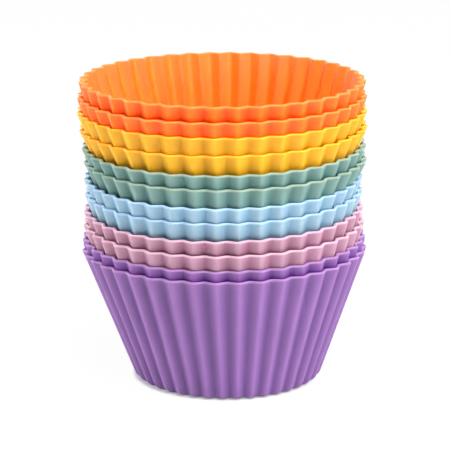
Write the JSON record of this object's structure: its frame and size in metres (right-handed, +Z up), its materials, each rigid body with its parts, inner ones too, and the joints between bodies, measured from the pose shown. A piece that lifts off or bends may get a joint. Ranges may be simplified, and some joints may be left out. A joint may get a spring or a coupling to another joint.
{
  "type": "stack of silicone cupcake liners",
  "caption": "Nested stack of reusable silicone cupcake liners with fluted flaring walls and flat bases, in bright and pastel colours.",
  "frame": {"origin": "middle of the underside of the lowest liner, which is the face that the stack stands on", "axes": "+Z up through the nested liners; -Y towards the viewer; +X to the viewer's right"},
  "size_m": [0.0703, 0.0705, 0.0748],
  "materials": {
    "silicone_purple": "satin",
    "silicone_pink": "satin",
    "silicone_blue": "satin",
    "silicone_sage": "satin",
    "silicone_yellow": "satin",
    "silicone_orange": "satin"
  },
  "bodies": {
    "root": {"liner_01_purple": "silicone_purple", "liner_02_purple": "silicone_purple", "liner_03_pink": "silicone_pink", "liner_04_pink": "silicone_pink", "liner_05_blue": "silicone_blue", "liner_06_blue": "silicone_blue", "liner_07_sage": "silicone_sage", "liner_08_sage": "silicone_sage", "liner_09_yellow": "silicone_yellow", "liner_10_yellow": "silicone_yellow", "liner_11_orange": "silicone_orange", "liner_12_orange": "silicone_orange"}
  },
  "joints": []
}
